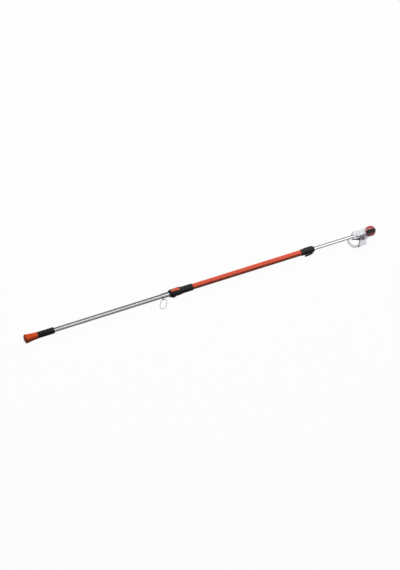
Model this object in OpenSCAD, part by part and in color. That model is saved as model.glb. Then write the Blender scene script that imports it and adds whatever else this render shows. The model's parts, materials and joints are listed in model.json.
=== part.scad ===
// Tree pruner pole: two tubes that telescope in a main tube, a pull knob at the foot,
// and a tilting hook-and-blade head at the tip. The pole lies along X, its head flat in XY.

/* [Main tube] */
// Length of the main tube
main_tube_length = 708; // [650:1:900]
// Outer diameter of the main tube
main_tube_od = 30; // [29:0.5:33]
// Wall of the main tube
main_tube_wall = 1.5; // [1:0.1:1.8]

/* [Lower tube] */
// Length of the lower tube that shows between the grip and the collar
lower_tube_reach = 626; // [480:1:800]
// Length of the lower tube held inside the main tube
lower_tube_overlap = 120; // [115:1:150]
// Outer diameter of the lower tube
lower_tube_od = 23; // [21:0.5:23.5]
// Wall of the lower tube
lower_tube_wall = 1.2; // [0.8:0.1:1.6]

/* [Upper tube] */
// Length of the upper tube that shows between the clamp and the bracket
upper_tube_reach = 218; // [190:1:350]
// Length of the upper tube held inside the main tube
upper_tube_overlap = 115; // [110:1:150]
// Outer diameter of the upper tube
upper_tube_od = 18; // [17:0.5:18.5]
// Wall of the upper tube
upper_tube_wall = 1.2; // [0.8:0.1:1.4]

/* [Knob and grip] */
// Length of the pull knob
knob_length = 66; // [56:1:100]
// Diameter of the knob's rim
knob_rim_d = 48; // [46:1:56]
// Diameter of the knob's neck
knob_neck_d = 35; // [32:1:38]
// Length of the grip sleeve
grip_length = 90; // [80:1:130]
// Diameter of the grip sleeve
grip_d = 33; // [30:0.5:36]

/* [Collar] */
// Length of collar in front of the main tube's end
collar_front = 50; // [48:1:72]
// Length of collar body on the main tube
collar_seat = 24; // [20:1:40]
// Length of sleeve behind the collar body
sleeve_length = 55; // [40:1:64]
// Diameter of the sleeve
sleeve_d = 36; // [35:0.5:38]
// Diameter of the collar body
collar_d = 42; // [41:0.5:44]
// Length of the guide nose in front of the collar
nose_length = 41; // [28:1:60]
// Diameter of the guide nose
nose_od = 27; // [26.5:0.1:27.5]
// Turn of the collar's lever about the pole, from the side towards the top
lever_roll = 60; // [0:1:90]
// Turn of the collar's bolt boss about the pole, from the side towards the floor
collar_boss_roll = 25; // [0:1:35]

/* [Hanging ring] */
// Width of the ring, wire middle to wire middle
ring_width = 34; // [30:1:38]
// Length of the ring from its lug to its far end
ring_length = 52; // [48:1:80]
// Diameter of the wire
ring_wire_d = 2.6; // [2:0.1:3]
// Turn of the ring in its lug, which swings its far end towards the foot
ring_skew = 20; // [0:1:25]

/* [Upper clamp] */
// Length of clamp on the main tube
clamp_seat = 31; // [28:1:52]
// Length of clamp beyond the main tube's end
clamp_front = 41; // [40:1:54]
// Diameter of the clamp body
clamp_d = 37; // [36:0.5:39]
// Diameter of the clamp's rear ring
clamp_ring_d = 33.6; // [33:0.2:35]
// Outer diameter of the bush in the clamp
clamp_bush_od = 24; // [22.5:0.1:24.5]

/* [Flip levers] */
// Length of the collar lever
collar_lever_length = 52; // [46:1:60]
// Length of the clamp lever
clamp_lever_length = 37; // [36:1:50]
// Width of a lever
lever_width = 14; // [13:0.5:17]
// Thickness of a lever's arm
lever_thickness = 5.5; // [4.5:0.1:6]
// Diameter of a lever pin
lever_pin_d = 5; // [4:0.1:5]
// Diameter of a clamp bolt
clamp_bolt_d = 5; // [4:0.1:5]

/* [Head] */
// Distance from the bracket's rear end to the hub
bracket_length = 95; // [92:1:110]
// Depth of the upper tube's seat in the bracket
bracket_seat = 25; // [22:1:26]
// Thickness of each cheek of the bracket
cheek = 3.4; // [3:0.1:4]
// Diameter of the hub's knob and cap
hub_d = 52; // [50:1:54]
// Diameter of the hub bolt
hub_bolt_d = 6; // [5:0.1:6]
// Diameter of the blade's pivot bolt
pivot_bolt_d = 6; // [5:0.1:6]
// Thickness of the jaw and of its cover
jaw_thickness = 4; // [3:0.1:4.5]
// Thickness of the blade
blade_thickness = 3; // [2:0.1:3.2]
// Inner radius of the hook
hook_inner_r = 30.5; // [30:0.5:34]
// Width of the hook
hook_width = 14.5; // [11:0.5:15]
// Length of the blade from its pivot to its tip
blade_length = 63; // [58:1:64]
// Turn of the blade from open to closed
blade_travel = 43; // [35:1:44]
// Turn of the tilt knob's bar from the pole's direction
wing_angle = 0; // [-20:1:20]

/* [Pull cord] */
// Diameter of the pull cord
cord_d = 2.4; // [2:0.1:2.4]
// Radius at which the cord winds on the blade's sector
sector_r = 20; // [18:0.5:20.5]

/* [Fits] */
// Gap between pieces that slide or swing past each other
slide_gap = 0.3; // [0.25:0.01:0.4]
// Radial gap of a pin or bolt in its hole
pin_gap = 0.05; // [0.03:0.01:0.08]
// Radial gap of a piece seated on another
seat_gap = 0.05; // [0.02:0.01:0.1]

/* [Hidden] */
$fn = 96;

orange = [0.80, 0.28, 0.10];
red = [0.55, 0.10, 0.09];
black = [0.07, 0.07, 0.07];
grey = [0.42, 0.43, 0.42];
silver = [0.80, 0.80, 0.81];
steel = [0.62, 0.63, 0.64];
dark_steel = [0.30, 0.28, 0.30];
brass = [0.70, 0.55, 0.25];

// Overrun of a cutting shape past the face that it cuts
over = 1;

// Tube bores
main_id = main_tube_od - 2 * main_tube_wall;
lower_id = lower_tube_od - 2 * lower_tube_wall;
upper_id = upper_tube_od - 2 * upper_tube_wall;

// Places along the pole, from the middle of the main tube
main_x0 = -main_tube_length / 2;
main_x1 = main_tube_length / 2;
collar_x0 = main_x0 - collar_front;
collar_x1 = main_x0 + collar_seat;
nose_x0 = collar_x0 - nose_length;
nose_x1 = main_x0 - over;
clamp_x0 = main_x1 - clamp_seat;
clamp_x1 = main_x1 + clamp_front;
lower_x1 = main_x0 + lower_tube_overlap;
grip_x1 = collar_x0 - lower_tube_reach;
lower_x0 = grip_x1 - grip_length;
knob_x1 = lower_x0 - slide_gap;
knob_x0 = knob_x1 - knob_length;
upper_x0 = main_x1 - upper_tube_overlap;
hub_x = clamp_x1 + upper_tube_reach + bracket_length;
upper_x1 = hub_x - bracket_length + bracket_seat;

// The surface that the pole lies on, under the knob's rim and the hub's cap
floor_z = -knob_rim_d / 2;

// Flip levers: the lever's boss turns above the bore's wall
bore_wall = 1.6;
lever_boss_r = lever_pin_d / 2 + 2;
collar_pin_x = main_x0 + 2;
collar_pin_y = nose_od / 2 + bore_wall + slide_gap + lever_boss_r;
clamp_pin_x = clamp_x1 - 15;
clamp_pin_y = clamp_bush_od / 2 + bore_wall + slide_gap + lever_boss_r;
lever_drop = 0.5;
lever_bow = 1.2;
lever_taper = 1;
lever_tip_length = 9;
lever_grooves = 4;
lever_groove_from = 15;
lever_groove_step = 5;
lever_groove_r = 1.4;
lever_groove_depth = 0.6;
collar_lever_rise = 3;
clamp_lever_rise = 4;
ear_thickness = 4;
pin_proud = 0.4;
ear_z = lever_width / 2 + slide_gap;
ear_r = lever_pin_d / 2 + 2.6;

// Clamp bosses, each split and drawn together by one bolt
boss_half_x = 9;
boss_half_z = 9;
slit = 1.6;
boss_wall = 2;
collar_bolt_x = main_x0 - 28;
collar_bolt_y = nose_od / 2 + boss_wall + clamp_bolt_d / 2;
clamp_bolt_x = main_x1 + 22;
clamp_boss_roll = 90;
clamp_bolt_y = clamp_bush_od / 2 + boss_wall + clamp_bolt_d / 2;
bolt_head_h = 4.2;
bolt_head_r = clamp_bolt_d * 0.85;
bolt_tail = 4.2;
bolt_nut_h = 4;
bolt_nut_r = clamp_bolt_d * 0.9;
bolt_socket_r = clamp_bolt_d * 0.45;
bolt_socket_depth = 2.4;

// Shape of the collar and its sleeve
collar_nose_drop = 5;
collar_nose_length = 5;
collar_swell = 14;
collar_shoulder = 6;
collar_lip = 0.6;
sleeve_grooves = 6;
sleeve_groove_width = 1.6;
sleeve_groove_depth = 0.7;
sleeve_groove_margin = 6;
sleeve_taper = 4;
sleeve_end_drop = 1.2;

// Shape of the upper clamp
clamp_ring_step = 14;
clamp_ring_slope = 5;
clamp_ring_bevel = 3;
clamp_taper = 9;
clamp_mouth_wall = 2;
bush_lip = 2;
slit_end = 4;

// Shape of the grip
grip_ribs = 8;
grip_rib_depth = 1.1;
grip_rib_flat = 1.4;
grip_rib_slope = 1;
grip_band = 8;
grip_bead = 12;
grip_bead_rise = 0.5;

// Hanging ring
ring_lug = 8;
ring_wire_r = ring_wire_d / 2;
ring_arc_r = ring_width / 2;
ring_sag = ring_arc_r - sqrt(ring_arc_r * ring_arc_r - ring_lug * ring_lug / 4);
ring_hole_r = ring_wire_r + ring_sag + slide_gap;
ring_axis_y = nose_od / 2 + ring_hole_r + bore_wall;
ring_inset = 5;
ring_x = nose_x0 + ring_inset;
ring_side = ring_length - 2 * ring_arc_r;
ring_reach = 2 * ring_arc_r + ring_side * cos(ring_skew);
ring_lean = asin((-floor_z - ring_wire_r) / ring_reach);

// Guide bushes and plug
guide_length = 30;
guide_lip = 3;
plug_length = 26;
plug_flange = 3;

// Knob
knob_round = 5;
knob_neck_bevel = 1.5;
knob_flare = 1.5;
knob_cap_depth = 9;
knob_cap_r = knob_rim_d / 2 - 6;
ferrule_length = 12;
ferrule_r = 4;

// Pull cord: three straight runs side by side, then round the hub to the blade
cord_r = cord_d / 2;
cord_hole_r = cord_r + 0.6;
cord_wall_gap = 0.4;
pulley_r = upper_id / 2 - cord_r - cord_wall_gap;
cord_middle_y = pulley_r / 2;
cord_lap = 90;

// Head, in its own coordinates about the hub
hub_bolt_r = hub_bolt_d / 2;
pivot_bolt_r = pivot_bolt_d / 2;
slot_half = jaw_thickness + cord_r + blade_thickness + 1.4;
bracket_half = slot_half + cheek;
slot_x = -64;
socket_half = upper_tube_od / 2 + 3.5;
eye_r = 15;
bracket_swell = 0.5;
bracket_flange = 24;
bracket_ramp = 9;
bracket_line_y = 8.5;
bracket_line = 1.2;
bracket_line_depth = 0.8;
jaw_z0 = -slot_half + slide_gap;
jaw_z1 = jaw_z0 + jaw_thickness;
blade_z0 = jaw_z1 + slide_gap;
blade_z1 = blade_z0 + blade_thickness;
sector_z1 = -blade_z1;
cover_z1 = slot_half - slide_gap;
cover_z0 = cover_z1 - jaw_thickness;
pulley_half = 3;
pivot = [-47, -24];
heel = [-48, -46];
spacer_at = [-42, -50];
hook_centre = [-83, -17];
hook_mid_r = hook_inner_r + hook_width / 2;
hook_start = 178;
hook_end = 290;
neck_r = 13;
heel_r = 13;
blade_eye_r = 12;
blade_top = pivot[1] + 9.5;
blade_tip = [pivot[0] - blade_length, blade_top];
blade_heel = pivot + blade_eye_r * [cos(235), sin(235)];
edge_bow = 2.5;
rivet_r = 2;
rivet_head_r = 3.4;
rivet_head_h = 1.3;
rivet_places = [6, 17];
small_rivet_r = 1.25;
small_rivet_at = 10.5;
small_rivet_angle = 20;
pulley_rim = pulley_r + cord_r + 0.8;
hub_washer_r = hub_bolt_r + 4;
pivot_head_r = pivot_bolt_r + 6;
pivot_nut_r = pivot_bolt_r + 2.8;
pivot_head_h = bracket_half - cover_z1;

// Line of the cord from the pulley to the sector, which touches both on the same side
pivot_d = norm(pivot);
pivot_dir = pivot / pivot_d;
pivot_side = [-pivot_dir[1], pivot_dir[0]];
touch_cos = (pulley_r - sector_r) / pivot_d;
touch = touch_cos * pivot_dir + sqrt(1 - touch_cos * touch_cos) * pivot_side;
touch_angle = atan2(touch[1], touch[0]);
cord_from = pulley_r * touch;
cord_to = pivot + sector_r * touch;
sector_a0 = touch_angle - blade_travel - 14;
sector_a1 = touch_angle + 6;
sector_rim = 1.6;
sector_boss_r = 9;

// Hub stack
knob_z0 = bracket_half + slide_gap;
knob_edge = 6;
knob_dome = 4.5;
knob_z1 = knob_z0 + knob_edge + knob_dome;
wing_z0 = knob_z0 + knob_edge + 0.5;
wing_height = 8;
wing_wide_r = 10.5;
wing_narrow_r = 7.5;
insert_r = 5.5;
insert_length = 6;
head_round = 3;

// Spiral return spring, one unbroken wire wound flat round the pivot's sleeve
spring_wire_r = 0.5;
spring_turns = 3;
spring_pitch = 1.8;
spring_steps = 16;
spring_sides = 6;
sleeve_r = pivot_bolt_r + 2;
spring_r0 = sleeve_r + spring_wire_r + slide_gap;
spring_z = (sector_z1 + cover_z0) / 2;
spring_count = spring_turns * spring_steps;

function spring_angle(i) = 360 * i / spring_steps;
function spring_radius(i) = spring_r0 + spring_pitch * i / spring_steps;
function spring_middle(i) = spring_radius(i) * [cos(spring_angle(i)), sin(spring_angle(i)), 0];
function spring_point(i, k) =
    let (side = 360 * k / spring_sides, r = spring_radius(i) + spring_wire_r * cos(side))
    [r * cos(spring_angle(i)), r * sin(spring_angle(i)), spring_wire_r * sin(side)];
spring_gap = min([
    for (i = [0 : spring_count])
        for (j = [i + spring_steps / 2 : spring_count])
            norm(spring_middle(i) - spring_middle(j)) - 2 * spring_wire_r
]);
echo(least_gap_of_the_spring_to_itself = spring_gap);

// Height of a lever's outer face over its pin, at a distance along its arm
function lever_face(length, rise, s) =
    let (t = s / length, end = rise + lever_thickness - lever_taper)
    lever_boss_r + (end - lever_boss_r) * t + 4 * lever_bow * t * (1 - t);

// Points of an arc about a centre
function arc(centre, r, a0, a1, steps = 12) =
    [for (i = [0 : steps]) let (a = a0 + (a1 - a0) * i / steps) centre + r * [cos(a), sin(a)]];

// Points of a shallow bow from one point to another
function bow(a, b, rise, steps = 10) =
    let (along = (b - a) / norm(b - a), side = [along[1], -along[0]])
    [for (i = [0 : steps]) let (t = i / steps) a + (b - a) * t + side * rise * 4 * t * (1 - t)];

// Stands a shape made along Z on the pole's axis at a place along the pole
module along_x(x) {
    translate([x, 0, 0]) rotate([0, 90, 0]) children();
}

// A solid turned about the pole's axis from points of radius and place along the pole
module turned(points) {
    rotate([0, 90, 0]) rotate_extrude() polygon(points);
}

// A plain tube on the pole's axis
module tube(x0, x1, od, id) {
    along_x(x0) difference() {
        cylinder(h = x1 - x0, d = od);
        translate([0, 0, -over]) cylinder(h = x1 - x0 + 2 * over, d = id);
    }
}

// A bore on the pole's axis
module bore(x0, x1, d) {
    along_x(x0) cylinder(h = x1 - x0, d = d);
}

// A straight run of the pull cord beside the pole's axis
module cord_run(x0, x1, y) {
    translate([0, y, 0]) along_x(x0) cylinder(h = x1 - x0, r = cord_r);
}

// A flat bar with round ends between two points
module bar(a, b, r) {
    along = b - a;
    translate(a) circle(r);
    translate(b) circle(r);
    translate(a) rotate(atan2(along[1], along[0])) translate([0, -r]) square([norm(along), 2 * r]);
}

// A round hole or pin along Z
module post(at, z0, z1, r) {
    translate([at[0], at[1], z0]) cylinder(h = z1 - z0, r = r);
}

// A flat ring along Z
module washer(at, z0, z1, r, hole_r) {
    difference() {
        post(at, z0, z1, r);
        post(at, z0 - over, z1 + over, hole_r);
    }
}

// A flat plate between two heights
module plate(z0, z1) {
    translate([0, 0, z0]) linear_extrude(z1 - z0) children();
}

// Moves the head's own coordinates to the hub
module at_hub() {
    translate([hub_x, 0, 0]) children();
}

// Turns pieces about the pole
module rolled(angle) {
    rotate([angle, 0, 0]) children();
}

// The two ears that hold a lever's pin
module lever_ears(pin_x, pin_y, base_y) {
    for (z = [ear_z, -ear_z - ear_thickness])
        plate(z, z + ear_thickness) translate([pin_x, 0]) {
            translate([0, pin_y]) circle(ear_r);
            translate([-ear_r, base_y]) square([2 * ear_r, pin_y - base_y]);
        }
}

// Room for a lever: its boss, and its arm lying along the body
module lever_room(pin_x, pin_y, length) {
    half = lever_width / 2 + slide_gap;
    post([pin_x, pin_y], -half, half, lever_boss_r + slide_gap);
    plate(-half, half) translate([pin_x - length - lever_boss_r, pin_y - lever_drop - slide_gap])
        square([length + 2 * lever_boss_r + 4, 2 * lever_boss_r + lever_thickness]);
    ends = ear_z + ear_thickness + over;
    post([pin_x, pin_y], -ends, ends, lever_pin_d / 2 + seat_gap);
}

// Outline of a lever about its pin, with its arm towards the foot
module lever_outline(length, rise) {
    circle(lever_boss_r);
    steps = 10;
    polygon(concat(
        [for (i = [0 : steps]) let (s = length * i / steps) [-s, lever_face(length, rise, s)]],
        [[-length - 1.5, (rise + lever_thickness) / 2], [-length, -lever_drop], [0, -lever_drop]]
    ));
}

// A lever without its tip piece
module lever(pin_x, pin_y, length, rise) {
    translate([pin_x, pin_y, 0]) difference() {
        plate(-lever_width / 2, lever_width / 2) lever_outline(length, rise);
        post([0, 0], -lever_width, lever_width, lever_pin_d / 2 + pin_gap);
        for (i = [0 : lever_grooves - 1]) {
            s = lever_groove_from + i * lever_groove_step;
            y = lever_face(length, rise, s) + lever_groove_r - lever_groove_depth;
            post([-s, y], -lever_width, lever_width, lever_groove_r);
        }
    }
}

// The end of a lever that its tip piece takes
module lever_end(length) {
    translate([-length - 2 * over, -2 * lever_width])
        square([lever_tip_length + 2 * over, 4 * lever_width]);
}

// The boss of a clamp, on the side away from its lever
module clamp_boss(bolt_x, bolt_y) {
    depth = bolt_y + clamp_bolt_d / 2 + boss_wall;
    plate(-boss_half_z, boss_half_z) translate([bolt_x, 0]) {
        half = boss_half_x - boss_wall;
        floor = boss_wall - depth;
        translate([-boss_half_x, floor]) square([2 * boss_half_x, -floor]);
        bar([-half, floor], [half, floor], boss_wall);
    }
}

// The slit of a clamp's boss, its bolt hole, and the flats under the bolt's head and nut
module clamp_cuts(bolt_x, bolt_y, slit_x0, slit_x1) {
    translate([slit_x0, -2 * bolt_y, -slit / 2]) cube([slit_x1 - slit_x0, 2 * bolt_y, slit]);
    post([bolt_x, -bolt_y], -boss_half_z - over, boss_half_z + over, clamp_bolt_d / 2 + seat_gap);
    for (z = [boss_half_z, -2 * boss_half_z])
        post([bolt_x, -bolt_y], z, z + boss_half_z, bolt_nut_r + slide_gap);
}

// A socket-head bolt along Z
module socket_bolt(bolt_x, bolt_y) {
    difference() {
        union() {
            post([bolt_x, -bolt_y], -boss_half_z - bolt_tail, boss_half_z, clamp_bolt_d / 2);
            post([bolt_x, -bolt_y], boss_half_z, boss_half_z + bolt_head_h, bolt_head_r);
        }
        translate([bolt_x, -bolt_y, boss_half_z + bolt_head_h - bolt_socket_depth])
            cylinder(h = bolt_socket_depth + over, r = bolt_socket_r, $fn = 6);
    }
}

// A hexagon nut along Z
module hex_nut(at, z0, z1, r, hole_r) {
    difference() {
        translate([at[0], at[1], z0]) cylinder(h = z1 - z0, r = r, $fn = 6);
        post(at, z0 - over, z1 + over, hole_r);
    }
}

// Main tube and what is fixed to it

module main_tube() {
    color(orange) tube(main_x0, main_x1, main_tube_od, main_id);
}

module guide_nose() {
    lug_y = ring_axis_y + ring_hole_r + bore_wall;
    color(silver) difference() {
        union() {
            turned([
                [lower_tube_od / 2, nose_x0], [nose_od / 2 - 0.8, nose_x0], [nose_od / 2, nose_x0 + 2],
                [nose_od / 2, nose_x1], [lower_tube_od / 2, nose_x1]
            ]);
            translate([ring_x - ring_lug / 2, 0, 0]) rotate([90, 0, 90]) linear_extrude(ring_lug)
                bar([-lower_tube_od / 2, 0], [-ring_axis_y, 0], lug_y - ring_axis_y);
        }
        bore(nose_x0 - over, nose_x1 + over, lower_tube_od + 2 * slide_gap);
        translate([0, -ring_axis_y, 0]) along_x(ring_x - ring_lug)
            cylinder(h = 2 * ring_lug, r = ring_hole_r);
    }
}

module collar_body() {
    r = collar_d / 2;
    lip = sleeve_d / 2 + collar_lip;
    inner = nose_od / 2 - over;
    nose_bore = nose_od + 2 * seat_gap;
    slit_x1 = main_x0 - slit_end;
    color(black) difference() {
        union() {
            turned([
                [inner, collar_x0], [r - collar_nose_drop, collar_x0],
                [r - 0.4 * collar_nose_drop, collar_x0 + collar_nose_length],
                [r, collar_x0 + collar_swell], [r, main_x0 + collar_shoulder],
                [lip, collar_x1 - collar_shoulder], [lip, collar_x1], [inner, collar_x1]
            ]);
            rolled(lever_roll) lever_ears(collar_pin_x, collar_pin_y, nose_od / 2);
            rolled(collar_boss_roll) clamp_boss(collar_bolt_x, collar_bolt_y);
        }
        bore(collar_x0 - over, main_x0 + over, nose_bore);
        bore(main_x0, collar_x1 + over, main_tube_od + 2 * seat_gap);
        rolled(lever_roll) lever_room(collar_pin_x, collar_pin_y, collar_lever_length);
        rolled(collar_boss_roll) clamp_cuts(collar_bolt_x, collar_bolt_y, collar_x0 - over, slit_x1);
    }
}

module collar_sleeve() {
    x0 = collar_x1 + seat_gap;
    x1 = collar_x1 + sleeve_length;
    r = sleeve_d / 2;
    seat = main_tube_od / 2 + seat_gap;
    first = x0 + sleeve_groove_margin;
    last = x1 - sleeve_taper - sleeve_groove_margin;
    root_d = sleeve_d - 2 * sleeve_groove_depth;
    color(black) difference() {
        turned([
            [seat, x0], [r, x0], [r, x1 - sleeve_taper], [r - sleeve_end_drop, x1], [seat, x1]
        ]);
        for (i = [0 : sleeve_grooves - 1]) {
            x = first + (last - first) * i / (sleeve_grooves - 1);
            tube(x, x + sleeve_groove_width, sleeve_d + 2 * over, root_d);
        }
    }
}

module collar_bolt() {
    color(black) rolled(collar_boss_roll) socket_bolt(collar_bolt_x, collar_bolt_y);
}

module collar_nut() {
    color(black) rolled(collar_boss_roll) hex_nut(
        [collar_bolt_x, -collar_bolt_y], -boss_half_z - bolt_nut_h, -boss_half_z,
        bolt_nut_r, clamp_bolt_d / 2 + seat_gap
    );
}

module collar_pin() {
    end = ear_z + ear_thickness + pin_proud;
    color(steel) rolled(lever_roll) post([collar_pin_x, collar_pin_y], -end, end, lever_pin_d / 2);
}

module collar_lever() {
    color(orange) rolled(lever_roll) difference() {
        lever(collar_pin_x, collar_pin_y, collar_lever_length, collar_lever_rise);
        translate([collar_pin_x, collar_pin_y, 0]) plate(-lever_width, lever_width)
            lever_end(collar_lever_length);
    }
}

module collar_lever_tip() {
    half = lever_width / 2;
    place = [collar_pin_x - seat_gap, collar_pin_y, 0];
    color(black) rolled(lever_roll) translate(place) plate(-half, half)
        intersection() {
            lever_outline(collar_lever_length, collar_lever_rise);
            lever_end(collar_lever_length);
        }
}

module clamp_body() {
    r = clamp_d / 2;
    ring_r = clamp_ring_d / 2;
    ring_x1 = main_x1 - clamp_ring_step;
    inner = clamp_bush_od / 2 - over;
    mouth = clamp_bush_od / 2 + clamp_mouth_wall;
    slit_x0 = main_x1 + slit_end;
    bush_bore = clamp_bush_od + 2 * seat_gap;
    color(black) difference() {
        union() {
            turned([
                [inner, clamp_x0], [ring_r - 1, clamp_x0], [ring_r, clamp_x0 + clamp_ring_bevel],
                [ring_r, ring_x1], [r, ring_x1 + clamp_ring_slope], [r, clamp_x1 - clamp_taper],
                [mouth, clamp_x1], [inner, clamp_x1]
            ]);
            mirror([0, 1, 0]) lever_ears(clamp_pin_x, clamp_pin_y, clamp_bush_od / 2);
            rolled(clamp_boss_roll) clamp_boss(clamp_bolt_x, clamp_bolt_y);
        }
        bore(clamp_x0 - over, main_x1, main_tube_od + 2 * seat_gap);
        bore(main_x1 - over, clamp_x1 + over, bush_bore);
        mirror([0, 1, 0]) lever_room(clamp_pin_x, clamp_pin_y, clamp_lever_length);
        rolled(clamp_boss_roll) clamp_cuts(clamp_bolt_x, clamp_bolt_y, slit_x0, clamp_x1 + over);
    }
}

module clamp_bush() {
    x0 = main_x1 + seat_gap;
    x1 = clamp_x1 + bush_lip;
    color(grey) difference() {
        tube(x0, x1, clamp_bush_od, upper_tube_od + 2 * slide_gap);
        rolled(clamp_boss_roll) translate([x0 - over, -clamp_bush_od, -slit / 2])
            cube([x1 - x0 - slit_end, clamp_bush_od, slit]);
    }
}

module clamp_bolt() {
    color(black) rolled(clamp_boss_roll) socket_bolt(clamp_bolt_x, clamp_bolt_y);
}

module clamp_nut() {
    color(black) rolled(clamp_boss_roll) hex_nut(
        [clamp_bolt_x, -clamp_bolt_y], -boss_half_z - bolt_nut_h, -boss_half_z,
        bolt_nut_r, clamp_bolt_d / 2 + seat_gap
    );
}

module clamp_pin() {
    end = ear_z + ear_thickness + pin_proud;
    color(steel) post([clamp_pin_x, -clamp_pin_y], -end, end, lever_pin_d / 2);
}

module clamp_lever() {
    color(black) mirror([0, 1, 0]) lever(clamp_pin_x, clamp_pin_y, clamp_lever_length, clamp_lever_rise);
}

// Half a turn of the ring's wire
module ring_half() {
    rotate_extrude(angle = 180) translate([ring_arc_r, 0]) circle(ring_wire_r);
}

// The ring leans from its lug down to the surface that the pole lies on
module hanging_ring() {
    color(silver) translate([ring_x, -ring_axis_y, 0]) rotate([ring_lean, 0, 0])
        translate([0, -ring_arc_r, 0]) rotate([0, 0, -ring_skew]) {
            ring_half();
            translate([0, -ring_side, 0]) rotate([0, 0, 180]) ring_half();
            for (x = [-ring_arc_r, ring_arc_r])
                translate([x, 0, 0]) rotate([90, 0, 0]) cylinder(h = ring_side, r = ring_wire_r);
        }
}

// Lower tube and what is fixed to it

module lower_tube() {
    color(silver) tube(lower_x0, lower_x1, lower_tube_od, lower_id);
}

module lower_guide() {
    x0 = lower_x1 - guide_length;
    x1 = lower_x1 + guide_lip;
    seat = lower_tube_od / 2 + seat_gap;
    r = main_id / 2 - slide_gap;
    color(grey) turned([
        [seat, x0], [r - 0.6, x0], [r, x0 + 2], [r, x1 - 2], [r - 0.6, x1], [lower_id / 2, x1],
        [lower_id / 2, lower_x1 + seat_gap], [seat, lower_x1 + seat_gap]
    ]);
}

module grip_sleeve() {
    r = grip_d / 2;
    root = r - grip_rib_depth;
    bead = r + grip_bead_rise;
    start = lower_x0 + grip_band;
    rib = (grip_x1 - grip_bead - grip_rib_slope - start) / grip_ribs;
    seat = lower_tube_od / 2 + seat_gap;
    color(black) turned(concat(
        [[seat, lower_x0], [r - 1, lower_x0], [r, lower_x0 + 2], [r, start]],
        [for (i = [0 : grip_ribs - 1])
            let (x = start + i * rib + grip_rib_slope, x1 = x + grip_rib_flat)
            each [[root, x], [root, x1], [r, x1 + grip_rib_slope], [r, start + (i + 1) * rib]]],
        [[r - grip_bead_rise, grip_x1 - grip_bead], [bead, grip_x1 - grip_bead + 4]],
        [[bead, grip_x1 - 2], [r - grip_bead_rise, grip_x1], [seat, grip_x1]]
    ));
}

module foot_plug() {
    x1 = lower_x0 + plug_length;
    color(black) turned([
        [cord_hole_r, lower_x0 + seat_gap], [lower_id / 2 - seat_gap, lower_x0 + seat_gap],
        [lower_id / 2 - seat_gap, x1 - plug_flange], [lower_id / 2 - 1.5, x1], [cord_hole_r, x1]
    ]);
}

// Pull knob

module pull_knob() {
    rim = knob_rim_d / 2;
    neck = knob_neck_d / 2;
    steps = 10;
    bell_x1 = knob_x1 - knob_neck_bevel;
    bell = bell_x1 - knob_x0 - knob_round;
    color(orange) turned(concat(
        [[cord_hole_r, knob_x1], [neck - knob_neck_bevel, knob_x1], [neck, bell_x1]],
        [for (i = [1 : steps])
            let (t = i / steps)
            [neck + (rim - neck) * pow(t, knob_flare), bell_x1 - bell * t]],
        [for (p = arc([rim - knob_round, knob_x0 + knob_round], knob_round, -9, -90, 8)) p],
        [[knob_cap_r + seat_gap, knob_x0], [knob_cap_r + seat_gap, knob_x0 + knob_cap_depth]],
        [[ferrule_r + seat_gap, knob_x0 + knob_cap_depth]],
        [[ferrule_r + seat_gap, knob_x0 + knob_cap_depth + ferrule_length]],
        [[cord_hole_r, knob_x0 + knob_cap_depth + ferrule_length]]
    ));
}

module knob_cap() {
    dish = 2.5;
    x1 = knob_x0 + knob_cap_depth - seat_gap;
    color(orange) turned([
        [0, x1], [knob_cap_r, x1], [knob_cap_r, knob_x0], [knob_cap_r - 2, knob_x0 - dish + 1],
        [knob_cap_r - 6, knob_x0 - dish], [0, knob_x0 - dish]
    ]);
}

module cord_ferrule() {
    x0 = knob_x0 + knob_cap_depth;
    color(brass) tube(x0 + seat_gap, x0 + ferrule_length - seat_gap, 2 * ferrule_r, cord_d + 2 * seat_gap);
}

// Pull cord

module cord_lower() {
    color(black) cord_run(knob_x0 + knob_cap_depth + seat_gap, lower_x1 - guide_length, 0);
}

module cord_middle() {
    color(black) cord_run(lower_x1 - guide_length - cord_lap, upper_x0 + cord_lap, cord_middle_y);
}

module cord_upper() {
    color(black) cord_run(upper_x0 + guide_lip, upper_x1 - over, pulley_r);
}

module cord_neck() {
    color(black) cord_run(upper_x1 - over + seat_gap, hub_x - pulley_rim - cord_d, pulley_r);
}

module cord_head() {
    run = cord_to - cord_from;
    color(black) at_hub() {
        rotate([0, 0, touch_angle]) rotate_extrude(angle = 90 - touch_angle)
            translate([pulley_r, 0]) circle(cord_r);
        translate(cord_from) rotate([0, 0, atan2(run[1], run[0])]) along_x(seat_gap)
            cylinder(h = norm(run) - seat_gap, r = cord_r);
    }
}

// Upper tube and what is fixed to it

module upper_tube() {
    color(silver) difference() {
        tube(upper_x0, upper_x1, upper_tube_od, upper_id);
        at_hub() rivet_holes();
    }
}

module upper_guide() {
    x0 = upper_x0 - guide_lip;
    x1 = upper_x0 + guide_length;
    seat = upper_tube_od / 2 + seat_gap;
    r = main_id / 2 - slide_gap;
    color(grey) turned([
        [upper_id / 2, x0], [r - 0.6, x0], [r, x0 + 2], [r, x1 - 2], [r - 0.6, x1], [seat, x1],
        [seat, upper_x0 - seat_gap], [upper_id / 2, upper_x0 - seat_gap]
    ]);
}

module rivet_holes() {
    for (x = rivet_places)
        post([x - bracket_length, 0], -bracket_half - over, bracket_half + over, rivet_r + seat_gap);
}

// Outline of the bracket, with a flange on the side away from the jaw
module bracket_outline() {
    x0 = -bracket_length;
    half = eye_r - bracket_swell;
    waist = slot_x + 4;
    circle(eye_r);
    polygon([
        [x0, -socket_half], [waist, -socket_half - bracket_swell], [0, -half],
        eye_r * [cos(45), sin(45)], [-4, bracket_flange], [x0 + bracket_ramp, bracket_flange - 1],
        [x0, socket_half]
    ]);
}

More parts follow.
